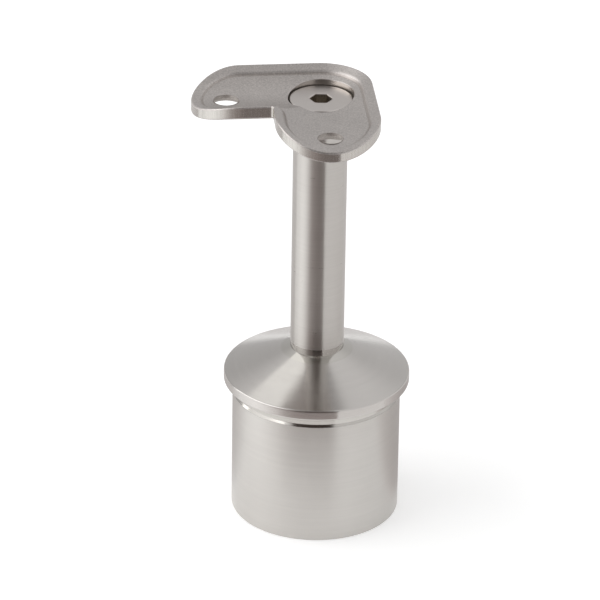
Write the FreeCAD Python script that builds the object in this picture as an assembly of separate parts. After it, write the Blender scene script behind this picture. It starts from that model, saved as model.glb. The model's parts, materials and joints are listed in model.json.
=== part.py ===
import FreeCAD, Part
import math
import os

# Handrail corner bracket for round posts, stainless steel, millimetres.
# +Z is up; the stem axis is the Z axis and z = 0 is the lower end of the spigot.

# ---- sizes that are set by themselves ----
post_outside = 48.3          # outside diameter of the post tube
post_wall = 2.0              # wall of the post tube
spigot_play = 0.3            # gap all round between spigot and tube bore
spigot_length = 36.6         # spigot, from its lower end to the seat on the post
spigot_wall = 3.0
spigot_end_round = 0.4
groove_height = 3.2          # polished undercut below the cap's edge
groove_depth = 0.6
cap_edge_height = 2.7        # cylindrical edge of the cap
cap_edge_round = 0.45
cap_cone_rise = 7.0          # from the top of the edge to the stem
crown_thickness = 9.4        # cap, from the stem's shoulder to the roof of the hollow
hollow_corner_round = 2.0
stem_diameter = 13.9
stem_height = 65.3           # visible length between cap and saddle
stem_end_chamfer = 0.35
thread_diameter = 8.0        # M8 at both ends of the stem
thread_play = 0.05           # radial gap left between the plain thread cylinders
stud_overrun = 1.2           # stud end below the roof of the hollow
tapped_depth = 20.0
rail_diameter = 48.3         # handrail that lies in the saddle
saddle_thickness = 2.85
saddle_outer_half = 13.0     # stem axis to the outer long edges, and outer corner radius
saddle_width = 26.4          # width of each arm
saddle_reach = 33.0          # stem axis to the tip of each arm
saddle_inner_round = 0.8     # upright inner corner of the L
recess_depth = 0.45          # floor of the saddle below its rim
rim_width = 2.6              # level band left round the recess
boss_diameter = 20.0         # flat seat under the saddle
seat_thickness = 4.95        # saddle floor to the flat of the boss
screw_head_diameter = 16.0   # M8 countersunk, hexagon socket
screw_head_rim = 0.4
screw_head_round = 0.3
screw_length = 20.0          # overall length, head included
socket_across_flats = 5.0
socket_depth = 3.0
socket_turn = 54.0           # a corner of the hexagon, from the first arm
screw_hole_diameter = 8.4
countersink_diameter = 16.8
rail_hole_diameter = 6.4
rail_hole_distance = 24.1    # stem axis to each rail screw hole
rail_hole_land = 1.3         # straight part of the hole below the floor, then a countersink
saddle_edge_round = 0.3      # along the upper outline of the saddle
arm_turn = 225.0             # direction of the first arm, degrees from +X

# ---- sizes that follow ----
cap_radius = post_outside / 2.0
spigot_radius = post_outside / 2.0 - post_wall - spigot_play
hollow_radius = spigot_radius - spigot_wall
edge_top = spigot_length + cap_edge_height
shoulder_z = edge_top + cap_cone_rise
hollow_roof = shoulder_z - crown_thickness
stem_radius = stem_diameter / 2.0
thread_radius = thread_diameter / 2.0
boss_z = shoulder_z + stem_height
floor_z = boss_z + seat_thickness
rim_valley_z = floor_z + recess_depth
rail_radius = rail_diameter / 2.0
rail_axis_z = rim_valley_z + rail_radius
end_radius = saddle_width / 2.0
arm_offset = end_radius - saddle_outer_half
end_centre = saddle_reach - end_radius


def vec(x, y, z):
    return FreeCAD.Vector(x, y, z)


def upright_cylinder(radius, low, high, x=0.0, y=0.0):
    return Part.makeCylinder(radius, high - low, vec(x, y, low))


def turned(points):
    """Solid of revolution about Z from a closed list of (radius, z) corners."""
    wire = Part.makePolygon([vec(r, 0, z) for r, z in points + points[:1]])
    return Part.Face(wire).revolve(vec(0, 0, 0), vec(0, 0, 1), 360)


def ring_edges(shape, radius, height):
    """Circular edges of the given radius at the given height."""
    found = []
    for edge in shape.Edges:
        curve = edge.Curve
        if isinstance(curve, Part.Circle) and abs(curve.Radius - radius) < 1e-4:
            if abs(curve.Center.z - height) < 1e-4:
                found.append(edge)
    return found


def groove_ring():
    """Ring that cuts the undercut: a round-bottomed channel under the cap's edge."""
    low = spigot_length - groove_height
    middle = spigot_length - groove_height / 2.0
    bottom = Part.Arc(vec(spigot_radius, 0, low),
                      vec(spigot_radius - groove_depth, 0, middle),
                      vec(spigot_radius, 0, spigot_length)).toShape()
    out = spigot_radius + 1.0
    wall = Part.makePolygon([vec(spigot_radius, 0, spigot_length),
                             vec(out, 0, spigot_length),
                             vec(out, 0, low),
                             vec(spigot_radius, 0, low)])
    face = Part.Face(Part.Wire([bottom] + wall.Edges))
    return face.revolve(vec(0, 0, 0), vec(0, 0, 1), 360)


def make_post_cap():
    """Cap with a conical top, a thin edge, a groove and a hollow spigot."""
    bore = thread_radius + thread_play
    body = turned([(bore, shoulder_z),
                   (stem_radius, shoulder_z),
                   (cap_radius, edge_top),
                   (cap_radius, spigot_length),
                   (spigot_radius, spigot_length),
                   (spigot_radius, 0),
                   (hollow_radius, 0),
                   (hollow_radius, hollow_roof),
                   (bore, hollow_roof)])
    rounded = ring_edges(body, cap_radius, edge_top) + ring_edges(body, cap_radius, spigot_length)
    body = body.makeFillet(cap_edge_round, rounded)
    body = body.makeFillet(spigot_end_round, ring_edges(body, spigot_radius, 0))
    body = body.makeFillet(hollow_corner_round, ring_edges(body, hollow_radius, hollow_roof))
    return body.cut(groove_ring())


def make_stem():
    """Round bar with a threaded stud below and a tapped hole in its upper end."""
    stud_end = hollow_roof - stud_overrun
    body = upright_cylinder(stem_radius, shoulder_z, boss_z)
    stud = upright_cylinder(thread_radius, stud_end, shoulder_z)
    stud = stud.makeChamfer(0.6, ring_edges(stud, thread_radius, stud_end))
    bore = thread_radius + thread_play
    drill_tip = bore / math.tan(math.radians(59.0))
    bottom = boss_z - tapped_depth
    hole = upright_cylinder(bore, bottom, boss_z + 1.0)
    tip = Part.makeCone(0, bore, drill_tip, vec(0, 0, bottom - drill_tip))
    stem = body.fuse(stud).removeSplitter()
    stem = stem.makeChamfer(stem_end_chamfer, ring_edges(stem, stem_radius, boss_z))
    return stem.cut(hole.fuse(tip))


def l_outline(inset, low, high):
    """Upright L-shaped prism: two round-ended arms and a round outer corner."""
    outer = saddle_outer_half - inset
    width = saddle_width - 2 * inset
    reach = end_radius - inset
    corner = upright_cylinder(outer, low, high)
    arm_x = Part.makeBox(end_centre, width, high - low, vec(0, -outer, low))
    arm_y = Part.makeBox(width, end_centre, high - low, vec(-outer, 0, low))
    end_x = upright_cylinder(reach, low, high, end_centre, arm_offset)
    end_y = upright_cylinder(reach, low, high, arm_offset, end_centre)
    return corner.multiFuse([arm_x, arm_y, end_x, end_y]).removeSplitter()


def rail_elbow(radius):
    """Two tubes along the arms that meet in a ball over the stem."""
    centre = vec(0, 0, rail_axis_z)
    length = saddle_reach + 10.0
    along_x = Part.makeCylinder(radius, length, centre, vec(1, 0, 0))
    along_y = Part.makeCylinder(radius, length, centre, vec(0, 1, 0))
    return Part.makeSphere(radius, centre).multiFuse([along_x, along_y])


def is_bed(face):
    surface = face.Surface
    return hasattr(surface, "Radius") and abs(surface.Radius - rail_radius) < 1e-6


def upper_outline(shell):
    """Edges where the curved bed meets the upright sides."""
    found = []
    for edge in shell.Edges:
        beds = [is_bed(face) for face in shell.ancestorsOfType(edge, Part.Face)]
        if sorted(beds) == [False, True]:
            found.append(edge)
    return found


def saddle_shell():
    """L-shaped shell curved like the rail, with a shallow recess inside its rim."""
    low = boss_z
    high = rail_axis_z - rail_radius / 2.0
    outline = l_outline(0.0, low, high)
    half = saddle_width - saddle_outer_half
    inner = [edge for edge in outline.Edges
             if abs(edge.CenterOfMass.x - half) < 1e-4 and abs(edge.CenterOfMass.y - half) < 1e-4]
    outline = outline.makeFillet(saddle_inner_round, inner)
    shell = outline.common(rail_elbow(rail_radius + saddle_thickness))
    shell = shell.cut(rail_elbow(rail_radius))
    shell = shell.makeFillet(saddle_edge_round, upper_outline(shell))
    recess = l_outline(rim_width, low, high).common(rail_elbow(rail_radius + recess_depth))
    return shell.cut(recess)


def screw_opening():
    """Clearance hole, 90 degree countersink and the straight wall above it."""
    hole = upright_cylinder(screw_hole_diameter / 2.0, boss_z - 1.0, floor_z + 1.0)
    wide = countersink_diameter / 2.0
    cone = Part.makeCone(0, wide, wide, vec(0, 0, floor_z - wide))
    wall = upright_cylinder(wide, floor_z, floor_z + 8.0)
    return hole.multiFuse([cone, wall])


def rail_hole(x, y):
    """Straight hole for a rail screw, countersunk at 45 degrees from below."""
    radius = rail_hole_diameter / 2.0
    land_z = floor_z - rail_hole_land
    drop = land_z - boss_z
    hole = upright_cylinder(radius, boss_z, rail_axis_z, x, y)
    return hole.fuse(Part.makeCone(radius + drop, radius, drop, vec(x, y, boss_z)))


def make_saddle():
    """Saddle plate with its boss, the screw seat and the two rail holes."""
    boss = upright_cylinder(boss_diameter / 2.0, boss_z, floor_z)
    boss = boss.common(rail_elbow(rail_radius + saddle_thickness + seat_thickness))
    boss = boss.cut(rail_elbow(rail_radius + recess_depth))
    saddle = saddle_shell().fuse(boss).removeSplitter()
    holes = [rail_hole(rail_hole_distance, 0), rail_hole(0, rail_hole_distance)]
    saddle = saddle.cut(screw_opening().multiFuse(holes))
    saddle.rotate(vec(0, 0, 0), vec(0, 0, 1), arm_turn)
    return saddle


def make_saddle_screw():
    """Countersunk screw with a hexagon socket, its head flush with the saddle floor."""
    head_radius = screw_head_diameter / 2.0
    cone_top = floor_z - screw_head_rim
    neck_z = cone_top - (head_radius - thread_radius)
    end_z = floor_z - screw_length
    body = turned([(0, floor_z),
                   (head_radius, floor_z),
                   (head_radius, cone_top),
                   (thread_radius, neck_z),
                   (thread_radius, end_z + 0.8),
                   (thread_radius - 0.8, end_z),
                   (0, end_z)])
    body = body.makeFillet(screw_head_round, ring_edges(body, head_radius, floor_z))
    corner = socket_across_flats / math.sqrt(3.0)
    points = [vec(corner * math.cos(math.radians(60 * i)), corner * math.sin(math.radians(60 * i)),
                  floor_z - socket_depth) for i in range(7)]
    socket = Part.Face(Part.makePolygon(points)).extrude(vec(0, 0, socket_depth + 1.0))
    tip = Part.makeCone(0, socket_across_flats / 2.0, 1.2, vec(0, 0, floor_z - socket_depth - 1.2))
    screw = body.cut(socket.fuse(tip))
    screw.rotate(vec(0, 0, 0), vec(0, 0, 1), arm_turn + socket_turn)
    return screw


os.makedirs("parts", exist_ok=True)
pieces = {
    "post_cap": make_post_cap(),
    "stem": make_stem(),
    "saddle_plate": make_saddle(),
    "saddle_screw": make_saddle_screw(),
}
for name, shape in pieces.items():
    shape.exportStep("parts/" + name + ".step")
    box = shape.BoundBox
    print(name, shape.isValid(), len(shape.Solids), "volume", round(shape.Volume, 1),
          "x", round(box.XMin, 2), round(box.XMax, 2), "y", round(box.YMin, 2), round(box.YMax, 2),
          "z", round(box.ZMin, 2), round(box.ZMax, 2))
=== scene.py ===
import json
import math
import bmesh
import bpy
import numpy as np
from mathutils import Matrix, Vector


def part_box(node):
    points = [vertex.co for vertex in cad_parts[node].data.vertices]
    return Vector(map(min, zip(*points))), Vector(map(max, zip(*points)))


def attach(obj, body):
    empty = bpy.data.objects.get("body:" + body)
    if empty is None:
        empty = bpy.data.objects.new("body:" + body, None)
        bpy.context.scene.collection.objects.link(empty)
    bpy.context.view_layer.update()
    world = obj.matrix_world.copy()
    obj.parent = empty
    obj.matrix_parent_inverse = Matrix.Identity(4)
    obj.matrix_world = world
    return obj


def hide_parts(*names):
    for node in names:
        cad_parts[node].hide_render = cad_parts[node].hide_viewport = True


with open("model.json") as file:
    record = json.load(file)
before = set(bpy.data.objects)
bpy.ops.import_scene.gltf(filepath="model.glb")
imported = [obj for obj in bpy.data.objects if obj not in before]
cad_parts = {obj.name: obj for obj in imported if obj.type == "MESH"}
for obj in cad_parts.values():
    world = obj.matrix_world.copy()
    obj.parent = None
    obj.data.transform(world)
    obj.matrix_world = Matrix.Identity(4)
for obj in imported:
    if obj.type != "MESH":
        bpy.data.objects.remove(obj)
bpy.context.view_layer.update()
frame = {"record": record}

# Corner bracket that carries a round handrail on a round post, stainless steel.
# The pieces are worked out in millimetres and become metres in add_piece; the studio is in metres.
# The stem axis is the Z axis; z = 0 is the lower end of the spigot.

MM = 0.001


# ---------------------------------------------------------------- places taken from the frame
cap_high = np.array(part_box("post_cap")[1]) / MM
stem_low, stem_high = [np.array(v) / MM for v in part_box("stem")]
plate_low = np.array(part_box("saddle_plate")[0]) / MM
screw_high = np.array(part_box("saddle_screw")[1]) / MM
mounts = {m["name"]: m for m in frame["record"]["mounts"]}

cap_radius = cap_high[0]
shoulder_z = cap_high[2]             # the cap's top, where the stem stands
spigot_radius = mounts["spigot"]["dims"]["r_mm"]
seat_z = mounts["post_seat"]["pos_m"][2] / MM
stem_radius = stem_high[0]
boss_z = plate_low[2]                # underside of the saddle's boss, upper end of the stem
floor_z = screw_high[2]              # the saddle's floor, level with the screw's face
screw_head_radius = screw_high[0]

# sizes of the cap and the stem
spigot_wall = 3.0
spigot_end_round = 0.4
groove_height = 3.2
bevel_depth = 0.45                   # the groove's lower side leans up and inward from the spigot
bevel_height = 0.64
wall_lean = 0.10                     # how far the groove's wall leans outward over its height
cap_edge_height = 2.7
cap_edge_round = 0.45
crown_thickness = 9.4
hollow_round = 2.0
polished_width = 2.4                 # ring of the cone next to the stem
foot_height = 1.7                    # smooth turned foot of the stem
stem_top_round = 0.35
thread_radius = 4.0
thread_chamfer = 0.6
bore_radius = 4.05
bore_depth = 20.0
drill_point = 2.43

# sizes of the saddle, arms along +X and +Y before the turn
arm_turn = 225.0
corner_radius = 13.0
end_radius = 13.2
saddle_reach = 33.0
arm_offset = end_radius - corner_radius
end_centre = saddle_reach - end_radius
inner_side = 2 * end_radius - corner_radius
inner_round = 0.8
bend = inner_side + inner_round      # where the straight inner sides start
rail_radius = 24.15
plate_thickness = 2.85
upper_edge_round = 0.3
lower_edge_round = 0.25
recess_depth = 0.45
land_width = 2.05                    # raised rim along the outline
step_width = 1.1                     # eased step from the rim down to the recess
rim_end = 4.0                        # where the upper surfaces along the outline stop
low_rim_end = 2.6                    # and the lower ones
rail_axis_z = floor_z + recess_depth + rail_radius
rail_hole = 24.1
rail_hole_radius = 3.2
rail_hole_land = 0.7
mouth_radius = 8.4                   # round opening for the screw's head
mouth_depth = 0.3
mouth_ease = 0.12
neck_radius = 4.2                    # hole for the screw's shank
boss_radius = 10.0
boss_round = 0.3

support_gap = 0.05                   # distance of the extra row that keeps a flat's shading flat
corner_points, side_points, out_points, tip_points, in_points, inner_points = 48, 30, 12, 72, 8, 18
cut_points = 34                      # across an arm, where two zones meet

# material numbers of the saddle and of the cap
FACE, EDGE, MOUTH, RAIL_HOLE, SEAT, STEP = range(6)
CONE, SPIGOT, GROOVE, CONE_TOP = range(4)


# ---------------------------------------------------------------- surfaces
def grid_faces(rows, columns, start=0):
    """Quads between neighbours of a rows x columns grid that closes over its columns."""
    i, j = np.meshgrid(np.arange(rows - 1), np.arange(columns), indexing="ij")
    k = (j + 1) % columns
    quads = np.stack([i * columns + j, i * columns + k, (i + 1) * columns + k, (i + 1) * columns + j], -1)
    return quads.reshape(-1, 4) + start


def smooth_step(x):
    """3x^2 - 2x^3 between 0 and 1, level outside."""
    x = np.clip(x, 0.0, 1.0)
    return x * x * (3.0 - 2.0 * x)


def rounded_profile(corners, steps):
    """Polyline through (r, z, round) corners; each round is an arc tangent to both sides.

    A close point beyond each end of an arc keeps the shading of the flats flat.
    """
    points = []
    count = len(corners)
    for i, (r, z, size) in enumerate(corners):
        here = np.array([r, z], float)
        if size <= 0:
            points.append(here[None, :])
            continue
        back = np.array(corners[i - 1][:2], float) - here
        ahead = np.array(corners[(i + 1) % count][:2], float) - here
        back /= np.linalg.norm(back)
        ahead /= np.linalg.norm(ahead)
        half = math.acos(np.clip(back @ ahead, -1, 1)) / 2.0
        run = size / math.tan(half)
        centre = here + (back + ahead) / np.linalg.norm(back + ahead) * size / math.sin(half)
        first = here + back * run - centre
        last = here + ahead * run - centre
        swing = math.atan2(first[0] * last[1] - first[1] * last[0], first @ last)
        a = np.linspace(0.0, swing, steps)
        arc = np.stack([centre[0] + first[0] * np.cos(a) - first[1] * np.sin(a),
                        centre[1] + first[0] * np.sin(a) + first[1] * np.cos(a)], -1)
        points.append((here + back * (run + support_gap))[None, :])
        points.append(arc)
        points.append((here + ahead * (run + support_gap))[None, :])
    return np.concatenate(points)


def finer(profile, longest):
    """Adds evenly spaced points on runs of a polyline longer than `longest`."""
    out = [profile[:1]]
    for a, b in zip(profile[:-1], profile[1:]):
        n = max(1, int(math.ceil(np.linalg.norm(b - a) / longest)))
        t = np.linspace(0, 1, n + 1)[1:, None]
        out.append(a + (b - a) * t)
    return np.concatenate(out)


def turned_about_z(points, degrees):
    """Points (..., 3) turned about the Z axis: x cos a - y sin a, x sin a + y cos a, z."""
    a = math.radians(degrees)
    x, y, z = np.moveaxis(np.asarray(points, float), -1, 0)
    return np.stack([x * math.cos(a) - y * math.sin(a), x * math.sin(a) + y * math.cos(a), z], -1)


def turned_grid(profile, steps):
    """Profile (r, z) turned about Z: x = r cos a, y = r sin a, z = z; closed round the turn."""
    a = np.arange(steps) * 2 * np.pi / steps
    r = profile[:, 0][:, None]
    z = profile[:, 1][:, None]
    return np.stack([r * np.cos(a), r * np.sin(a), z + 0 * a], -1)


def join_grids(grids):
    """Stacks (grid, material number) pairs: vertices, quads, a number per quad, lengths as UV."""
    points, faces, numbers, uvs = [], [], [], []
    start = 0
    for grid, number in grids:
        rows, columns = grid.shape[:2]
        quads = grid_faces(rows, columns, start)
        closed = np.concatenate([grid, grid[:, :1]], 1)
        along = np.concatenate([[0], np.cumsum(np.linalg.norm(np.diff(closed[0], axis=0), axis=1))])
        across = np.concatenate([[0], np.cumsum(np.linalg.norm(np.diff(grid[:, 0], axis=0), axis=1))])
        uv = np.stack(np.broadcast_arrays(along[None, :columns], across[:, None]), -1)
        points.append(grid.reshape(-1, 3))
        faces.append(quads)
        numbers.append(np.full(len(quads), number))
        uvs.append(uv.reshape(-1, 2))
        start += rows * columns
    return np.concatenate(points), np.concatenate(faces), np.concatenate(numbers), np.concatenate(uvs)


def placed(name, data):
    """New object for a mesh, a lamp or a camera, linked to the scene."""
    thing = bpy.data.objects.new(name, data)
    bpy.context.scene.collection.objects.link(thing)
    return thing


def add_piece(name, vertices, faces, node, materials, face_material, sharp, uv=None, merge=1e-7):
    """Mesh object from arrays in millimetres; doubles merged, normals outward, smooth shaded."""
    mesh = bpy.data.meshes.new(name)
    mesh.from_pydata((vertices * MM).tolist(), [], faces.tolist())
    if uv is not None:
        layer = mesh.uv_layers.new(name="lay")
        loops = np.empty(len(mesh.loops), np.int32)
        mesh.loops.foreach_get("vertex_index", loops)
        layer.data.foreach_set("uv", uv[loops].astype(np.float32).ravel())
    for material in materials:
        mesh.materials.append(material)
    mesh.polygons.foreach_set("material_index", face_material.astype(np.int32))
    work = bmesh.new()
    work.from_mesh(mesh)
    bmesh.ops.remove_doubles(work, verts=work.verts, dist=merge)
    bmesh.ops.dissolve_degenerate(work, edges=work.edges, dist=merge / 10)
    bmesh.ops.recalc_face_normals(work, faces=work.faces)
    work.to_mesh(mesh)
    work.free()
    mesh.polygons.foreach_set("use_smooth", np.ones(len(mesh.polygons), bool))
    mesh.set_sharp_from_angle(angle=math.radians(sharp))
    piece = placed(name, mesh)
    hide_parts(node)
    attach(piece, "root")
    return piece


def ring_uv(mesh):
    """UV map that runs round the axis: u is the angle over a full turn, v the height less the radius."""
    layer = mesh.uv_layers.new(name="lay")
    loops = np.empty(len(mesh.loops), np.int32)
    mesh.loops.foreach_get("vertex_index", loops)
    places = np.empty(len(mesh.vertices) * 3)
    mesh.vertices.foreach_get("co", places)
    places = places.reshape(-1, 3)[loops]
    starts = np.empty(len(mesh.polygons), np.int32)
    totals = np.empty(len(mesh.polygons), np.int32)
    mesh.polygons.foreach_get("loop_start", starts)
    mesh.polygons.foreach_get("loop_total", totals)
    owner = np.repeat(np.arange(len(starts)), totals)
    turn = np.arctan2(places[:, 1], places[:, 0]) / (2 * np.pi)
    middle = np.zeros((len(starts), 2))
    np.add.at(middle, owner, places[:, :2])
    face_turn = np.arctan2(middle[:, 1], middle[:, 0]) / (2 * np.pi)
    turn += np.round(face_turn[owner] - turn)
    rise = (places[:, 2] - np.hypot(places[:, 0], places[:, 1])) * 10.0
    layer.data.foreach_set("uv", np.stack([turn, rise], -1).astype(np.float32).ravel())


# ---------------------------------------------------------------- saddle
def rail_bed(x, y, radius):
    """Lower side of two tubes along the arms and a ball at the corner, at height z(x, y).

    z = axis - sqrt(radius^2 - q^2); q is |y| along one arm, |x| along the other, the distance
    from the stem axis on the outer corner, and the smaller of both, eased, between the arms.
    """
    px = np.maximum(x, 0)
    py = np.maximum(y, 0)
    ease = 0.6
    low = 0.5 * (px + py - np.sqrt((px - py) ** 2 + ease ** 2) + ease)
    low = np.minimum(low, np.minimum(px, py))
    q = np.where((x < 0) & (y < 0), np.hypot(x, y),
                 np.where(y < 0, np.abs(y), np.where(x < 0, np.abs(x), low)))
    return rail_axis_z - np.sqrt(radius ** 2 - q ** 2)


def upper_bed(x, y, inset=99.0):
    """Height of the upper face: the rail's bed, sunk by the recess behind the eased step."""
    depth = recess_depth * smooth_step((np.asarray(inset) - land_width) / step_width)
    return rail_bed(x, y, rail_radius + depth)


def lower_bed(x, y):
    """Height of the lower face, one plate thickness below the rim."""
    return rail_bed(x, y, rail_radius + plate_thickness)


def arc_points(cx, cy, radius, start, stop, count):
    """Points of an arc, end point left out; radius may be a column of values."""
    a = np.radians(start + (stop - start) * np.arange(count) / count)
    return cx + radius * np.cos(a), cy + radius * np.sin(a)


def line_points(x0, y0, x1, y1, count):
    """Points of a straight run, end point left out."""
    t = np.arange(count) / count
    return x0 + (x1 - x0) * t, y0 + (y1 - y0) * t


def l_path(inset):
    """L outline moved inward by `inset` (a column): two sides, two round tips, one concave corner."""
    d = np.asarray(inset, float).reshape(-1, 1)
    c = corner_radius - d
    e = end_radius - d
    h = inner_side - d
    runs = [arc_points(0, 0, c, 180, 270, corner_points),
            line_points(0, -c, bend, -c, side_points),
            line_points(bend, -c, end_centre, -c, out_points),
            arc_points(end_centre, arm_offset, e, -90, 90, tip_points),
            line_points(end_centre, h, bend, h, in_points),
            arc_points(bend, bend, inner_round + d, 270, 180, inner_points),
            line_points(h, bend, h, end_centre, in_points),
            arc_points(arm_offset, end_centre, e, 0, 180, tip_points),
            line_points(-c, end_centre, -c, bend, out_points),
            line_points(-c, bend, -c, 0, side_points)]
    x = np.concatenate([np.broadcast_to(r[0], (len(d), np.shape(r[0])[-1])) for r in runs], 1)
    y = np.concatenate([np.broadcast_to(r[1], (len(d), np.shape(r[1])[-1])) for r in runs], 1)
    return x, y


def run_indices():
    """First index of each run of the L outline."""
    lengths = [corner_points, side_points, out_points, tip_points, in_points, inner_points,
               in_points, tip_points, out_points, side_points]
    return np.concatenate([[0], np.cumsum(lengths)])


def zone_loops(x, y):
    """Closed boundaries of the three zones that meet at straight cuts across the arms."""
    s = run_indices()
    n = s[-1]

    def run(a, b):
        index = np.arange(a, b + 1) % n
        return np.stack([x[index], y[index]], -1)

    t = np.linspace(0, 1, cut_points)[1:-1, None]
    a0, a1 = run(s[2], s[2])[0], run(s[5], s[5])[0]
    b0, b1 = run(s[6], s[6])[0], run(s[9], s[9])[0]
    cut_x = a0 + (a1 - a0) * t
    cut_y = b0 + (b1 - b0) * t
    corner = np.concatenate([run(s[9], n + s[2]), cut_x, run(s[5], s[6]), cut_y])
    arm_x = np.concatenate([run(s[2], s[5]), cut_x[::-1]])
    arm_y = np.concatenate([run(s[6], s[9]), cut_y[::-1]])
    return corner, arm_x, arm_y


def unit_rays(loop, centre):
    """Unit vectors from a centre to the points of a loop."""
    angle = np.arctan2(loop[:, 1] - centre[1], loop[:, 0] - centre[0])
    return np.stack([np.cos(angle), np.sin(angle)], -1)


def ray_zone(loop, centre, radii, height, rings):
    """Surface between a round hole and a closed loop: points slide along rays from the hole's rim.

    Returns grid points (ring, ray): rim circles of the given radii first, then `rings` steps
    outward; height(x, y) lifts them.
    """
    away = loop - centre
    unit = unit_rays(loop, centre)
    reach = np.hypot(away[:, 0], away[:, 1])
    r = [np.full_like(reach, v) for v in radii]
    r += [radii[-1] + (reach - radii[-1]) * v for v in np.linspace(0, 1, rings + 1)[1:]]
    r = np.array(r)
    x = centre[0] + r * unit[:, 0]
    y = centre[1] + r * unit[:, 1]
    return np.stack([x, y, height(x, y)], -1)


def ruled(low_row, high_row, rows, number):
    """Ruled wall between two closed rows of equal count, with its material number."""
    t = np.linspace(0, 1, rows)[:, None, None]
    return low_row + (high_row - low_row) * t, number


def edge_grids():
    """Rim, step, lower edge and wall along the outline, and the inner rows of rim and lower edge.

    The upper edge is a ball of radius upper_edge_round rolled along the corner of wall and bed,
    at the bed's steepest lean; the lower edge is a quarter circle.
    """
    lean = math.asin(end_radius / rail_radius)
    t = np.linspace(0, np.pi / 2 + lean, 9)
    edge_inset = upper_edge_round * (1 - np.cos(t))
    edge_drop = (math.tan(lean) * (upper_edge_round - edge_inset)
                 + upper_edge_round / math.cos(lean) - upper_edge_round * np.sin(t))
    inset = np.concatenate([edge_inset, edge_inset[-1:] + support_gap,
                            np.linspace(edge_inset[-1] + 0.3, land_width, 5),
                            land_width + step_width * np.linspace(0, 1, 15)[1:], [rim_end - 0.2, rim_end]])
    drop = np.concatenate([edge_drop, np.zeros(len(inset) - len(t))])
    x, y = l_path(inset)
    rim = np.stack([x, y, upper_bed(x, y, inset[:, None]) - drop[:, None]], -1)
    # the lower half of the step takes a darker material: painted shade along the foot of the rim
    first = int(np.searchsorted(inset, land_width + 0.5 * step_width))
    last = int(np.searchsorted(inset, land_width + step_width - 1e-6))
    grids = [(rim[:first + 1], FACE), (rim[first:last + 1], STEP), (rim[last:], FACE)]

    a = np.linspace(0, np.pi / 2, 6)
    inset = np.concatenate([lower_edge_round * (1 - np.cos(a)), [lower_edge_round + support_gap],
                            np.linspace(lower_edge_round + 0.4, low_rim_end, 6)])
    rise = np.concatenate([lower_edge_round * (1 - np.sin(a)), np.zeros(len(inset) - len(a))])
    x, y = l_path(inset)
    low = np.stack([x, y, lower_bed(x, y) + rise[:, None]], -1)
    grids.append((low[::-1], FACE))

    t = np.concatenate([[0, 0.03], np.linspace(0.15, 0.85, 6), [0.97, 1]])[:, None]
    wall = low[0, :, 2] + (rim[0, :, 2] - low[0, :, 2]) * t
    grids.append((np.stack([rim[0, :, 0] + 0 * t, rim[0, :, 1] + 0 * t, wall], -1), EDGE))
    return grids, rim[-1], low[-1]


def opening_grids(loop, centre, radius, rings, foot_z, number):
    """Floor zone with an eased mouth, the straight wall below it, and the wall's lower row."""
    b = np.linspace(0, np.pi / 2, 4)
    rim = radius + mouth_ease * (1 - np.cos(b))
    zone = ray_zone(loop, centre, list(rim) + [radius + mouth_ease + support_gap], upper_bed, rings)
    zone[:len(b), :, 2] -= mouth_ease * (1 - np.sin(b))[:, None]
    foot = zone[0].copy()
    foot[:, 2] = foot_z
    return [(zone, FACE), ruled(foot, zone[0], 6, number)], foot


def boss_grid(loop):
    """Flat underside of the boss from the screw's hole to its softened edge, ray by ray."""
    w = np.linspace(0, np.pi / 2, 5)
    radii = np.concatenate([[neck_radius, 5.5, 8.0, 9.65], boss_radius - boss_round * (1 - np.sin(w))])
    rise = np.concatenate([np.zeros(4), boss_round * (1 - np.cos(w))])
    xy = radii[:, None, None] * unit_rays(loop, np.zeros(2))
    return np.concatenate([xy, np.broadcast_to((boss_z + rise)[:, None, None], xy.shape[:2] + (1,))], -1)


def saddle_grids():
    """Grids (rows, columns, 3) of the saddle with a material number each, arms along +X and +Y."""
    grids, top_inner, low_inner = edge_grids()
    corner, arm_x, arm_y = zone_loops(top_inner[:, 0], top_inner[:, 1])
    low_corner, low_arm_x, low_arm_y = zone_loops(low_inner[:, 0], low_inner[:, 1])

    # the screw's mouth and seat from above, the plain bed and the boss from below
    origin = np.zeros(2)
    mouth, foot = opening_grids(corner, origin, mouth_radius, 16, floor_z - mouth_depth, MOUTH)
    angle = np.arctan2(foot[:, 1], foot[:, 0])
    neck = np.stack([neck_radius * np.cos(angle), neck_radius * np.sin(angle),
                     0 * angle + floor_z - neck_radius], -1)
    under = ray_zone(low_corner, origin, [boss_radius, boss_radius + 0.02], lower_bed, 10)
    boss = boss_grid(low_corner)
    # the seat wall below the mouth takes the near-black material: painted shade in the gap round the screw's
    # head
    grids += mouth + [ruled(neck, foot, 8, SEAT), (under[::-1], FACE), (boss, FACE),
                      ruled(boss[-1], under[0], 6, FACE), ruled(boss[0], neck, 4, MOUTH)]

    # the rail holes, countersunk at 45 degrees from below: the sink's edge is found on the curved bed
    land_z = floor_z - rail_hole_land
    for loop, low_loop, centre in ((arm_x, low_arm_x, np.array([rail_hole, 0.0])),
                                   (arm_y, low_arm_y, np.array([0.0, rail_hole]))):
        unit = unit_rays(low_loop, centre)
        sink_radius = np.full(len(unit), rail_hole_radius + 1.0)
        for _ in range(4):
            edge = centre + unit * sink_radius[:, None]
            sink_radius = rail_hole_radius + land_z - lower_bed(edge[:, 0], edge[:, 1])
        under = ray_zone(low_loop, centre, [sink_radius, sink_radius + support_gap], lower_bed, 12)
        land = np.concatenate([centre + rail_hole_radius * unit, np.full((len(unit), 1), land_z)], -1)
        hole, foot = opening_grids(loop, centre, rail_hole_radius, 14, land_z + 0.9, RAIL_HOLE)
        grids += [(under[::-1], FACE), ruled(under[0], land, 5, RAIL_HOLE)] + hole
        grids.append(ruled(land, foot, 4, RAIL_HOLE))
    return grids


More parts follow.
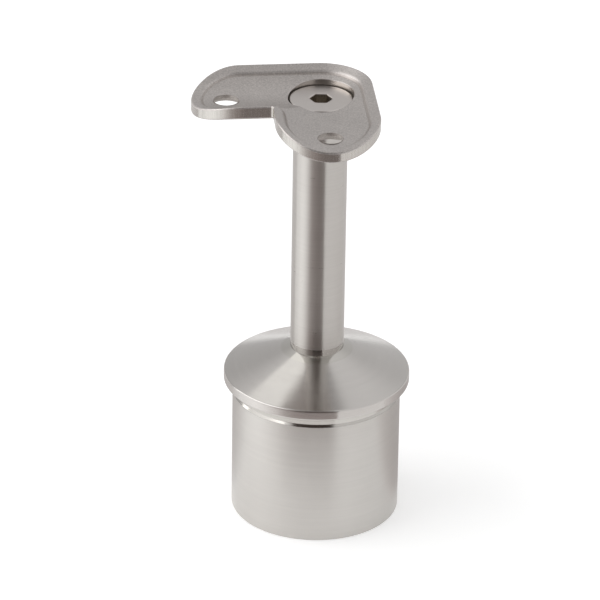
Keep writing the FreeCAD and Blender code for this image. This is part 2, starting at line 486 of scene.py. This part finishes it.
# ---------------------------------------------------------------- materials
def new_group(name, inputs, outputs):
    """Empty shader node group with named float inputs and outputs."""
    group = bpy.data.node_groups.new(name, "ShaderNodeTree")
    for title, value in inputs:
        socket = group.interface.new_socket(name=title, in_out="INPUT", socket_type="NodeSocketFloat")
        socket.default_value = value
    for title in outputs:
        group.interface.new_socket(name=title, in_out="OUTPUT", socket_type="NodeSocketFloat")
    start = group.nodes.new("NodeGroupInput")
    end = group.nodes.new("NodeGroupOutput")
    return group, start, end


def new_material(name):
    """Node material with nothing but its output; returns it with its nodes, links and surface."""
    material = bpy.data.materials.new(name)
    material.use_nodes = True
    nodes, links = material.node_tree.nodes, material.node_tree.links
    nodes.clear()
    out = nodes.new("ShaderNodeOutputMaterial")
    return material, nodes, links, out.inputs["Surface"]


def math_node(nodes, links, kind, a, b=None, c=None, clamp=False):
    """Math node with numbers or sockets as inputs; returns its output."""
    node = nodes.new("ShaderNodeMath")
    node.operation = kind
    node.use_clamp = clamp
    for i, value in enumerate((a, b, c)):
        if value is None:
            continue
        if isinstance(value, (int, float)):
            node.inputs[i].default_value = value
        else:
            links.new(value, node.inputs[i])
    return node.outputs[0]


def centred_noise(nodes, links, vector, scale, detail, rough):
    """Noise texture fed by a vector, less 0.5; the scale is a number or a socket."""
    node = nodes.new("ShaderNodeTexNoise")
    node.inputs["Detail"].default_value = detail
    node.inputs["Roughness"].default_value = rough
    links.new(vector, node.inputs["Vector"])
    if isinstance(scale, float):
        node.inputs["Scale"].default_value = scale
    else:
        links.new(scale, node.inputs["Scale"])
    return math_node(nodes, links, "SUBTRACT", node.outputs["Fac"], 0.5)


def squeezed(nodes, links, vector, scale):
    """Vector scaled along its three directions."""
    squeeze = nodes.new("ShaderNodeMapping")
    squeeze.inputs["Scale"].default_value = scale
    links.new(vector, squeeze.inputs["Vector"])
    return squeeze.outputs[0]


def brushing_group():
    """Lines that run round the axis: noise squeezed hard along Z, in a fine and a broad layer."""
    group, start, end = new_group("brushing_lines", [("Fine", 1.0), ("Broad", 1.0)], ["Lines", "Bands"])
    nodes, links = group.nodes, group.links
    place = nodes.new("ShaderNodeTexCoord").outputs["Object"]
    for out, key, scale in (("Lines", "Fine", (90.0, 90.0, 9000.0)),
                            ("Bands", "Broad", (25.0, 25.0, 1400.0))):
        value = centred_noise(nodes, links, squeezed(nodes, links, place, scale), 1.0, 3.0, 0.6)
        links.new(math_node(nodes, links, "MULTIPLY", value, start.outputs[key]), end.inputs[out])
    return group


def handling_group():
    """Faint smudges and cloudy tone of handled steel: two sizes of noise."""
    group, start, end = new_group("handling_marks", [("Amount", 1.0)], ["Cloud", "Smudge"])
    nodes, links = group.nodes, group.links
    place = nodes.new("ShaderNodeTexCoord").outputs["Object"]
    for out, scale, detail, rough in (("Cloud", 70.0, 3.0, 0.55), ("Smudge", 240.0, 4.0, 0.6)):
        value = centred_noise(nodes, links, place, scale, detail, rough)
        links.new(math_node(nodes, links, "MULTIPLY", value, start.outputs["Amount"]), end.inputs[out])
    return group


def grit_group():
    """Fine grain of a blasted face: high noise, as a height and a tone."""
    group, start, end = new_group("blasted_grain", [("Grain", 4200.0), ("Amount", 1.0)], ["Height", "Tone"])
    nodes, links = group.nodes, group.links
    place = nodes.new("ShaderNodeTexCoord").outputs["Object"]
    value = centred_noise(nodes, links, place, start.outputs["Grain"], 3.0, 0.65)
    links.new(value, end.inputs["Height"])
    links.new(math_node(nodes, links, "MULTIPLY", value, start.outputs["Amount"]), end.inputs["Tone"])
    return group


def steel_material(name, colour, roughness, anisotropy=0.0):
    """Metal Principled shader with its fixed values; a brushed one takes its lay from the UV map."""
    material, nodes, links, surface = new_material(name)
    shader = nodes.new("ShaderNodeBsdfPrincipled")
    links.new(shader.outputs[0], surface)
    shader.inputs["Metallic"].default_value = 1.0
    shader.inputs["Base Color"].default_value = (*colour, 1.0)
    shader.inputs["Roughness"].default_value = roughness
    shader.inputs["Anisotropic"].default_value = anisotropy
    if anisotropy > 0:
        shader.inputs["Anisotropic Rotation"].default_value = 0.25
        lay = nodes.new("ShaderNodeTangent")
        lay.direction_type = "UV_MAP"
        lay.uv_map = "lay"
        links.new(lay.outputs[0], shader.inputs["Tangent"])
    return material, nodes, links, shader


def use_group(nodes, group, **values):
    """Places a node group, sets its inputs and returns its outputs."""
    node = nodes.new("ShaderNodeGroup")
    node.node_tree = group
    for key, value in values.items():
        node.inputs[key].default_value = value
    return node.outputs


def toned(nodes, links, colour, tones):
    """Base colour times 1 + the sum of (value, weight) tones."""
    total = None
    for value, weight in tones:
        part = math_node(nodes, links, "MULTIPLY", value, weight)
        total = part if total is None else math_node(nodes, links, "ADD", total, part)
    factor = math_node(nodes, links, "ADD", total, 1.0)
    scale = nodes.new("ShaderNodeVectorMath")
    scale.operation = "SCALE"
    scale.inputs[0].default_value = colour
    links.new(factor, scale.inputs["Scale"])
    return scale.outputs[0]


def bumped(nodes, links, height, strength, distance):
    """Bump node for a height; returns its normal."""
    bump = nodes.new("ShaderNodeBump")
    bump.inputs["Strength"].default_value = strength
    bump.inputs["Distance"].default_value = distance
    links.new(height, bump.inputs["Height"])
    return bump.outputs[0]


brushing = brushing_group()
handling = handling_group()
grit = grit_group()


def satin_steel(name, colour, roughness, anisotropy, lines, bands, cloud):
    """Circumferentially brushed steel: streaks in tone, roughness and bump."""
    material, nodes, links, shader = steel_material(name, colour, roughness, anisotropy)
    brush = use_group(nodes, brushing, Fine=1.0, Broad=1.0)
    marks = use_group(nodes, handling, Amount=1.0)
    tone = toned(nodes, links, colour, [(brush["Lines"], lines), (brush["Bands"], bands),
                                        (marks["Cloud"], cloud)])
    links.new(tone, shader.inputs["Base Color"])
    vary = math_node(nodes, links, "MULTIPLY", brush["Bands"], 0.10)
    vary = math_node(nodes, links, "MULTIPLY_ADD", marks["Smudge"], 0.08, vary)
    rough = math_node(nodes, links, "ADD", vary, roughness, clamp=True)
    links.new(rough, shader.inputs["Roughness"])
    links.new(bumped(nodes, links, brush["Lines"], strength=0.12, distance=0.00002), shader.inputs["Normal"])
    return material


def blasted_steel(name, colour, roughness):
    """Matt blasted face of the saddle: fine grain and faint clouds."""
    material, nodes, links, shader = steel_material(name, colour, roughness)
    grain = use_group(nodes, grit, Grain=2600.0, Amount=1.0)
    marks = use_group(nodes, handling, Amount=1.0)
    tone = toned(nodes, links, colour, [(grain["Tone"], 1.05), (marks["Cloud"], 0.16),
                                        (marks["Smudge"], 0.14)])
    links.new(tone, shader.inputs["Base Color"])
    vary = math_node(nodes, links, "MULTIPLY_ADD", marks["Smudge"], 0.12, roughness)
    links.new(vary, shader.inputs["Roughness"])
    links.new(bumped(nodes, links, grain["Height"], strength=0.35, distance=0.00006), shader.inputs["Normal"])
    return material


def cut_edge_steel(name, colour, roughness, amount):
    """Upright striations of a cut edge: noise along the outline only, in tone and bump."""
    material, nodes, links, shader = steel_material(name, colour, roughness)
    lay = nodes.new("ShaderNodeUVMap")
    lay.uv_map = "lay"
    stripes = squeezed(nodes, links, lay.outputs[0], (3.2, 0.10, 1.0))
    stripes = centred_noise(nodes, links, stripes, 1.0, 3.0, 0.6)
    marks = use_group(nodes, handling, Amount=1.0)
    tone = toned(nodes, links, colour, [(stripes, amount), (marks["Cloud"], 0.08)])
    links.new(tone, shader.inputs["Base Color"])
    vary = math_node(nodes, links, "MULTIPLY_ADD", stripes, 0.15, roughness)
    links.new(vary, shader.inputs["Roughness"])
    links.new(bumped(nodes, links, stripes, strength=0.12, distance=0.00005), shader.inputs["Normal"])
    return material


# colour, roughness and, for turned or brushed steel, anisotropy and the weight of lines, bands and clouds
stem_steel = satin_steel("brushed_stem", (0.53, 0.51, 0.485), 0.30, 0.75, 0.16, 0.12, 0.07)
# the foot's darker colour is painted shade where the stem meets the cap; its smooth turned finish is real
foot_steel = satin_steel("turned_stem_foot", (0.44, 0.42, 0.395), 0.10, 0.3, 0.06, 0.04, 0.05)
cone_steel = satin_steel("fine_turned_cone", (0.555, 0.532, 0.51), 0.17, 0.4, 0.06, 0.06, 0.05)
cone_top_steel = satin_steel("polished_cone_top", (0.53, 0.51, 0.48), 0.07, 0.2, 0.05, 0.04, 0.05)
spigot_steel = satin_steel("brushed_spigot", (0.56, 0.54, 0.515), 0.36, 0.6, 0.10, 0.11, 0.08)
groove_steel = satin_steel("bright_turned_groove", (0.53, 0.51, 0.48), 0.15, 0.3, 0.03, 0.03, 0.03)
saddle_face = blasted_steel("blasted_saddle_face", (0.50, 0.468, 0.45), 0.42)
saddle_edge = cut_edge_steel("cut_saddle_edge", (0.55, 0.53, 0.50), 0.16, 0.42)
saddle_bore = satin_steel("bored_saddle_hole", (0.50, 0.47, 0.44), 0.28, 0.3, 0.06, 0.06, 0.05)
# darker step down into the recess: painted shade along the foot of the rim
step_steel = blasted_steel("brown_recess_step", (0.42, 0.384, 0.362), 0.42)
# rail holes: the blasted, matt finish is real; their darker colour is painted shade inside the holes
rail_bore = blasted_steel("blasted_rail_hole", (0.44, 0.41, 0.385), 0.55)
# near-black seat: painted shade in the narrow gap round the screw's head
seat_steel = blasted_steel("oiled_screw_seat", (0.10, 0.085, 0.07), 0.45)
screw_steel = satin_steel("plain_turned_screw", (0.61, 0.57, 0.545), 0.30, 0.4, 0.06, 0.05, 0.05)
# hexagon socket: its darker colour is painted shade inside the recess; the pressed, grainy face is real
socket_steel = blasted_steel("dark_pressed_socket", (0.40, 0.36, 0.31), 0.35)


# ---------------------------------------------------------------- pieces
def make_cap():
    """Cap and hollow spigot: closed profile turned about the axis."""
    steps = 288
    groove_low = seat_z - groove_height
    edge_top = seat_z + cap_edge_height
    roof = shoulder_z - crown_thickness
    hollow = spigot_radius - spigot_wall
    wall_foot = spigot_radius - bevel_depth
    wall_top = wall_foot + wall_lean
    top_radius = stem_radius + polished_width
    slope = (shoulder_z - edge_top) / (cap_radius - stem_radius)
    top_z = shoulder_z - slope * (top_radius - stem_radius)
    outside = rounded_profile([(hollow, 0, 0), (spigot_radius, 0, spigot_end_round),
                               (spigot_radius, groove_low, 0)], 8)
    channel = rounded_profile([(spigot_radius, groove_low - 0.01, 0), (spigot_radius, groove_low, 0.03),
                               (wall_foot, groove_low + bevel_height, 0.08), (wall_top, seat_z, 0)], 4)[1:]
    lip = rounded_profile([(wall_top, seat_z, 0), (cap_radius, seat_z, cap_edge_round),
                           (cap_radius, edge_top, cap_edge_round), (top_radius, top_z, 0)], 8)
    cone_top = np.array([[top_radius, top_z], [stem_radius, shoulder_z]])
    inside = rounded_profile([(stem_radius, shoulder_z, 0), (bore_radius, shoulder_z, 0),
                              (bore_radius, roof, 0), (hollow, roof, hollow_round), (hollow, 0, 0)], 10)[1:]
    parts = [(finer(outside, 1.2), SPIGOT), (finer(channel, 0.5), GROOVE), (finer(lip, 0.7), CONE),
             (finer(cone_top, 0.7), CONE_TOP), (finer(inside, 2.0), SPIGOT)]
    points, faces, numbers, _ = join_grids([(turned_grid(line, steps), number) for line, number in parts])
    piece = add_piece("cap_turned", points, faces, "post_cap",
                      [cone_steel, spigot_steel, groove_steel, cone_top_steel], numbers, 28.0)
    ring_uv(piece.data)


def make_stem():
    """Bar with its tapped hole above and its stud below: closed profile turned about the axis."""
    steps = 192
    foot_z = shoulder_z + foot_height
    bore = np.array([[0.0, boss_z - bore_depth - drill_point], [bore_radius, boss_z - bore_depth],
                     [bore_radius, boss_z]])
    bar = rounded_profile([(bore_radius, boss_z, 0), (stem_radius, boss_z, stem_top_round),
                           (stem_radius, foot_z, 0), (stem_radius, shoulder_z, 0),
                           (thread_radius, shoulder_z, 0), (thread_radius, stem_low[2] + thread_chamfer, 0),
                           (thread_radius - thread_chamfer, stem_low[2], 0), (0.0, stem_low[2], 0)], 5)
    line = finer(np.concatenate([bore, bar[1:]]), 3.0)
    # rows of the foot take the foot material, whose darker colour is painted shade at the joint
    middle_z = (line[:-1, 1] + line[1:, 1]) / 2
    foot = ((middle_z < foot_z) & (middle_z > shoulder_z)).astype(int)
    piece = add_piece("stem_bar", turned_grid(line, steps).reshape(-1, 3), grid_faces(len(line), steps),
                      "stem", [stem_steel, foot_steel], np.repeat(foot, steps), 28.0)
    ring_uv(piece.data)


def make_screw():
    """Screw: hexagon socket drawn out to the round head along rays, then a turned body."""
    across, socket_depth, socket_turn, lip = 5.0, 3.0, 54.0, 0.18
    head_round, shank = 0.3, 4.0
    rays = 240
    turn = math.radians(arm_turn + socket_turn)
    a = np.arange(rays) * 2 * np.pi / rays + turn
    hexagon = across / 2 / np.cos(np.mod(a - turn, np.pi / 3) - np.pi / 6)
    outer = screw_head_radius - head_round

    # radius and depth below the face: drilled tip, hexagon, lip, face, rounded rim, cone and shank
    rows = [(0.0, 4.2), (1.2, 3.7), (2.45, socket_depth)]
    rows += [(hexagon, depth) for depth in (socket_depth, 2.4, 1.2, 0.5, lip)]
    socket_rows = len(rows)
    rows += [(hexagon + lip * 0.35, lip * 0.35), (hexagon + lip, 0.0)]
    rows += [((hexagon + lip) * (1 - t) + outer * t, 0.0) for t in np.linspace(0.08, 1.0, 12)]
    rows += [(outer + head_round * math.sin(w), head_round * (1 - math.cos(w)))
             for w in np.linspace(0, np.pi / 2, 6)[1:]]
    rows += [(screw_head_radius, 0.4), (screw_head_radius - 0.1, 0.5), (shank, 4.4), (shank, 6.0),
             (shank, 19.2), (shank - 0.8, 20.0), (0.0, 20.0)]
    r = np.array([radius + 0 * a for radius, _ in rows])
    z = floor_z - np.array([depth for _, depth in rows])[:, None] + 0 * r
    points = np.stack([r * np.cos(a), r * np.sin(a), z], -1)
    in_socket = (np.arange(len(rows) - 1) < socket_rows - 1).astype(int)
    piece = add_piece("saddle_bolt", points.reshape(-1, 3), grid_faces(len(rows), rays), "saddle_screw",
                      [screw_steel, socket_steel], np.repeat(in_socket, rays), 30.0)
    ring_uv(piece.data)


def make_saddle():
    """Saddle: its grids joined and turned to where the arms stand."""
    points, faces, numbers, uvs = join_grids(saddle_grids())
    add_piece("saddle_pressed", turned_about_z(points, arm_turn), faces, "saddle_plate",
              [saddle_face, saddle_edge, saddle_bore, rail_bore, seat_steel, step_steel], numbers, 32.0,
              uv=uvs, merge=2e-7)


make_cap()
make_stem()
make_screw()
make_saddle()


# ---------------------------------------------------------------- camera
camera_turn = 39.0                   # degrees from the -Y side


def make_camera():
    """Long-lens camera that stands in front of the bend of the L and looks down on it."""
    frame_size, sensor = 600.0, 36.0
    focal = 4880.4                                  # focal length for a frame of this size
    seen = np.array([317.707, 303.345])             # where the aimed point falls in the frame
    distance, aim_height = 1260.8, 60.0
    elevation = math.radians(27.212)
    roll = math.radians(-0.968)
    back = np.array([0.0, -math.cos(elevation), math.sin(elevation)])
    place = np.array([0.0, 0.0, aim_height]) + distance * back
    right = np.array([1.0, 0.0, 0.0])
    rows = np.stack([right, np.cross(back, right), back])
    yaw, pitch = np.arctan((seen - frame_size / 2) / focal)
    turn_y = np.array([[math.cos(yaw), 0, -math.sin(yaw)], [0, 1, 0], [math.sin(yaw), 0, math.cos(yaw)]])
    turn_x = np.array([[1, 0, 0], [0, math.cos(pitch), -math.sin(pitch)],
                       [0, math.sin(pitch), math.cos(pitch)]])
    turn_z = np.array([[math.cos(roll), -math.sin(roll), 0], [math.sin(roll), math.cos(roll), 0], [0, 0, 1]])
    rows = turned_about_z(turn_z @ turn_x @ turn_y @ rows, camera_turn)
    data = bpy.data.cameras.new("camera")
    data.sensor_width = sensor
    data.lens = focal * sensor / frame_size
    data.clip_start = 0.01
    data.clip_end = 20.0
    matrix = np.eye(4)
    matrix[:3, :3] = rows.T
    matrix[:3, 3] = turned_about_z(place, camera_turn) * MM
    camera = placed("camera", data)
    camera.matrix_world = Matrix(matrix.tolist())
    bpy.context.scene.camera = camera


make_camera()

# ---------------------------------------------------------------- studio
# azimuths are in degrees from the camera's side, positive to the camera's right
towards = turned_about_z((0.0, -1.0, 0.0), camera_turn)
rightwards = turned_about_z((1.0, 0.0, 0.0), camera_turn)


def make_floor():
    """Large pale floor; seen directly or in metal it is white, and it keeps soft shadows."""
    half, paint, glow_strength = 4.0, 0.88, 0.30
    mesh = bpy.data.meshes.new("floor")
    corners = [(-half, -half, 0), (half, -half, 0), (half, half, 0), (-half, half, 0)]
    mesh.from_pydata(corners, [], [(0, 1, 2, 3)])
    floor = placed("floor", mesh)
    material, nodes, links, surface = new_material("pale_floor")
    diffuse = nodes.new("ShaderNodeBsdfDiffuse")
    diffuse.inputs["Color"].default_value = (paint, paint, paint, 1)
    glow = nodes.new("ShaderNodeEmission")
    path = nodes.new("ShaderNodeLightPath")
    seen = math_node(nodes, links, "MAXIMUM", path.outputs["Is Camera Ray"], path.outputs["Is Glossy Ray"])
    seen = math_node(nodes, links, "MAXIMUM", seen, path.outputs["Is Transmission Ray"])
    links.new(math_node(nodes, links, "MULTIPLY", seen, glow_strength), glow.inputs["Strength"])
    add = nodes.new("ShaderNodeAddShader")
    links.new(diffuse.outputs[0], add.inputs[0])
    links.new(glow.outputs[0], add.inputs[1])
    links.new(add.outputs[0], surface)
    mesh.materials.append(material)


def only_for_metal(panel):
    """Marks a studio panel so that it shows in polished surfaces alone."""
    panel.visible_camera = False
    panel.visible_diffuse = False
    panel.visible_shadow = False
    panel.visible_transmission = False


def glossy_card(name, corners, colour, strength):
    """Flat glowing card that only metal sees: a reflector of the studio."""
    mesh = bpy.data.meshes.new(name)
    mesh.from_pydata([tuple(c) for c in corners], [], [(0, 1, 2, 3)])
    card = placed(name, mesh)
    material, nodes, links, surface = new_material(name + "_surface")
    glow = nodes.new("ShaderNodeEmission")
    glow.inputs["Color"].default_value = (*colour, 1)
    glow.inputs["Strength"].default_value = strength
    links.new(glow.outputs[0], surface)
    mesh.materials.append(material)
    only_for_metal(card)


def screen_colours(azimuths, tones):
    """Colours over the azimuths, from a table of azimuth, brightness, and share of brown from 0 to 1."""
    table = np.array(tones, float)
    level = np.interp(azimuths, table[:, 0], table[:, 1])
    brown = np.interp(azimuths, table[:, 0], table[:, 2])
    colour = np.ones((len(azimuths), 4))
    for k, share in enumerate((0.0, 0.13, 0.16)):
        colour[:, k] = level * (1 - share * brown)
    return colour


def curved_screen(name, low, high, low_tones, high_tones=None):
    """Part of a ring round the bracket that only metal sees, ruled between two (radius, z) circles.

    The tones of the low circle blend into those of the high one.
    """
    azimuths = np.linspace(low_tones[0][0], low_tones[-1][0], 109)
    a = np.radians(azimuths)[:, None]
    flat = np.cos(a) * towards + np.sin(a) * rightwards
    points = np.concatenate([flat * radius + np.array([0, 0, z]) for radius, z in (low, high)])
    i = np.arange(len(azimuths) - 1)
    faces = np.stack([i, i + 1, i + 1 + len(azimuths), i + len(azimuths)], -1)
    mesh = bpy.data.meshes.new(name)
    mesh.from_pydata(points.tolist(), [], faces.tolist())
    colours = [screen_colours(azimuths, tones) for tones in (low_tones, high_tones or low_tones)]
    attribute = mesh.attributes.new("tone", "FLOAT_COLOR", "POINT")
    attribute.data.foreach_set("color", np.concatenate(colours).ravel())
    screen = placed(name, mesh)
    material, nodes, links, surface = new_material(name + "_surface")
    tone = nodes.new("ShaderNodeAttribute")
    tone.attribute_name = "tone"
    glow = nodes.new("ShaderNodeEmission")
    links.new(tone.outputs["Color"], glow.inputs["Color"])
    links.new(glow.outputs[0], surface)
    mesh.materials.append(material)
    only_for_metal(screen)


def make_world():
    """White to the eye, pale grey to diffuse faces; metal sees a tent with dark gaps.

    The tent blends sides, rear and roof by smooth steps of the ray's direction. The gaps are a low
    one and a high one at the camera's side and a half dark strip overhead.
    """
    world = bpy.data.worlds.new("studio")
    bpy.context.scene.world = world
    world.use_nodes = True
    nodes, links = world.node_tree.nodes, world.node_tree.links
    nodes.clear()
    out = nodes.new("ShaderNodeOutputWorld")
    place = nodes.new("ShaderNodeTexCoord").outputs["Generated"]

    def along(direction):
        """Share of the ray's direction along a given one."""
        node = nodes.new("ShaderNodeVectorMath")
        node.operation = "DOT_PRODUCT"
        links.new(place, node.inputs[0])
        node.inputs[1].default_value = tuple(direction)
        return node.outputs["Value"]

    def ramp(value, low, high, a, b):
        """Smooth step from a at low to b at high."""
        node = nodes.new("ShaderNodeMapRange")
        node.interpolation_type = "SMOOTHSTEP"
        links.new(value, node.inputs["Value"])
        for key, number in (("From Min", low), ("From Max", high), ("To Min", a), ("To Max", b)):
            node.inputs[key].default_value = number
        return node.outputs["Result"]

    def product(a, b):
        """a times b."""
        return math_node(nodes, links, "MULTIPLY", a, b)

    def larger(a, b):
        """The larger of a and b."""
        return math_node(nodes, links, "MAXIMUM", a, b)

    def window(value, rise, fall, top=1.0):
        """`top` between a rising and a falling smooth step, 0 outside."""
        return product(ramp(value, *rise, 0.0, top), ramp(value, *fall, 1.0, 0.0))

    def mixed(factor, a, b, kind="RGBA"):
        """a where the factor is 0, b where it is 1; numbers, colours or sockets."""
        node = nodes.new("ShaderNodeMix")
        node.data_type = kind
        links.new(factor, node.inputs["Factor"])
        for key, value in (("A", a), ("B", b)):
            if isinstance(value, bpy.types.NodeSocket):
                links.new(value, node.inputs[key])
            else:
                node.inputs[key].default_value = value
        return node.outputs["Result"]

    front = along(towards)
    side = along(rightwards)
    up = along((0, 0, 1))
    azimuth = math_node(nodes, links, "ARCTAN2", side, front)

    sides = ramp(side, -0.35, 0.35, 0.90, 0.86)
    rear = ramp(side, -0.15, 0.25, 0.60, 0.68)
    tent = mixed(ramp(front, -0.55, -0.25, 1.0, 0.0), sides, rear, "FLOAT")
    tent = mixed(ramp(up, 0.45, 0.85, 0.0, 1.0), tent, 0.86, "FLOAT")

    low_gap = window(azimuth, np.radians((-60, -25)), np.radians((21, 25)))
    low_gap = product(low_gap, ramp(up, 0.25, 0.32, 1.0, 0.0))
    high_gap = window(azimuth, np.radians((-37, -33)), np.radians((25, 28)))
    high_gap = product(high_gap, window(up, (0.25, 0.32), (0.88, 0.97)))
    strip = product(window(side, (-0.19, -0.13), (0.13, 0.22), 0.55), ramp(up, 0.80, 0.86, 0.0, 1.0))
    gaps = larger(larger(low_gap, high_gap), strip)
    for_metal = mixed(gaps, tent, (0.060, 0.048, 0.042, 1))

    path = nodes.new("ShaderNodeLightPath").outputs
    metal = larger(path["Is Glossy Ray"], path["Is Transmission Ray"])
    shown = mixed(metal, (1, 1, 1, 1), for_metal)
    paint = mixed(larger(path["Is Camera Ray"], metal), (0.78, 0.78, 0.78, 1), shown)
    background = nodes.new("ShaderNodeBackground")
    links.new(paint, background.inputs["Color"])
    links.new(background.outputs[0], out.inputs["Surface"])


def facing_frame(azimuth, elevation, distance):
    """4x4 place of a panel that looks at the bracket: columns right, up, back and position."""
    aim_z = 0.05
    a, e = math.radians(azimuth), math.radians(elevation)
    flat = math.cos(a) * towards + math.sin(a) * rightwards
    back = math.cos(e) * flat + math.sin(e) * np.array([0, 0, 1.0])
    right = np.cross((0, 0, 1.0), back)
    right /= np.linalg.norm(right)
    matrix = np.eye(4)
    matrix[:3, 0], matrix[:3, 1] = right, np.cross(back, right)
    matrix[:3, 2], matrix[:3, 3] = back, back * distance + np.array((0, 0, aim_z))
    return matrix


def make_key():
    """Large soft lamp at the camera's left."""
    data = bpy.data.lights.new("key", "AREA")
    data.shape = "RECTANGLE"
    data.size = 1.15
    data.size_y = 0.85
    data.energy = 4.6
    placed("key", data).matrix_world = Matrix(facing_frame(-83, 32, 1.0).tolist())


def panel_corners(azimuth, elevation, distance, width, height):
    """Corners of a flat panel that looks at the bracket."""
    matrix = facing_frame(azimuth, elevation, distance)
    right, up, place = matrix[:3, 0], matrix[:3, 1], matrix[:3, 3]
    signs = ((-1, -1), (1, -1), (1, 1), (-1, 1))
    return [place + right * w * width / 2 + up * h * height / 2 for w, h in signs]


make_floor()
make_world()
make_key()

# azimuth, brightness and share of brown round the camera's side, from the lamp to the dark gap
front_tones = [(-95, 1.10, 0.0), (-80, 1.35, 0.0), (-64, 1.28, 0.0), (-52, 1.08, 0.1), (-42, 0.76, 0.3),
               (-33, 0.46, 0.6), (-24, 0.36, 0.9), (-14, 0.31, 1.0), (-5, 0.26, 1.0), (10, 0.26, 1.0),
               (23, 0.28, 1.0)]
sill_tones = [(-95, 1.15, 0.0), (-70, 1.42, 0.0), (-53, 1.25, 0.1), (-42, 1.00, 0.2), (-37, 0.84, 0.4),
              (-32, 0.62, 0.6), (-22, 0.48, 0.9), (-10, 0.43, 1.0), (23, 0.43, 1.0)]
deep_tones = [(-95, 1.20, 0.0), (-82, 1.42, 0.0), (-66, 1.30, 0.0), (-52, 0.84, 0.2), (-38, 0.28, 0.8),
              (-25, 0.15, 1.0), (-5, 0.14, 1.0), (23, 0.17, 1.0)]
arm_tones = [(-95, 1.10, 0.0), (-80, 1.35, 0.0), (-64, 1.35, 0.0), (-52, 1.20, 0.1), (-42, 0.88, 0.3),
             (-33, 0.62, 0.6), (-24, 0.48, 0.9), (-14, 0.37, 1.0), (-5, 0.27, 1.0), (23, 0.25, 1.0)]
# near-black tones of the ring that paints the shade at the joint of stem and cap
joint_shade_tones = [(-16, 0.02, 1.0), (16, 0.02, 1.0)]
rear_tones = [(100, 0.86, 0.2), (140, 0.78, 0.2), (250, 0.74, 0.2)]
near_tones = [(82, 0.92, 0.2), (98, 0.66, 0.4), (125, 0.55, 0.4), (200, 0.56, 0.4), (225, 0.66, 0.3),
              (245, 0.82, 0.2), (262, 1.0, 0.0)]
right_tones = [(26, 0.92, 0.2), (100, 0.90, 0.2)]

# upright screens before the spigot, the stem and the arms, then sheets that lie on the floor
sheet_z = 0.0006
curved_screen("sill_screen", (0.078, 0.0), (0.078, 0.0118), sill_tones)
curved_screen("near_screen", (0.078, 0.0118), (0.078, 0.030), deep_tones, front_tones)
curved_screen("far_screen", (0.12, 0.0), (0.12, 0.050), front_tones)
curved_screen("arm_screen", (0.12, 0.050), (0.12, 0.10), front_tones, arm_tones)
# dark ring that only metal sees: painted reflection of the shade at the joint, seen in the stem's foot
curved_screen("joint_flag", (0.030, 0.0369), (0.030, 0.0393), joint_shade_tones)
# sheets that only metal sees: painted shade of the floor, darker behind and to the right, where the shadow
# falls
curved_screen("rear_sheet", (0.09, sheet_z), (0.30, sheet_z), rear_tones)
curved_screen("near_sheet", (0.026, sheet_z), (0.09, sheet_z), near_tones)
curved_screen("right_sheet", (0.09, sheet_z), (0.30, sheet_z), right_tones)
glossy_card("roof_panel", panel_corners(-146, 59, 0.8, 0.125, 0.30), (1.0, 1.0, 0.98), 1.35)

scene = bpy.context.scene
scene.view_settings.view_transform = "Standard"
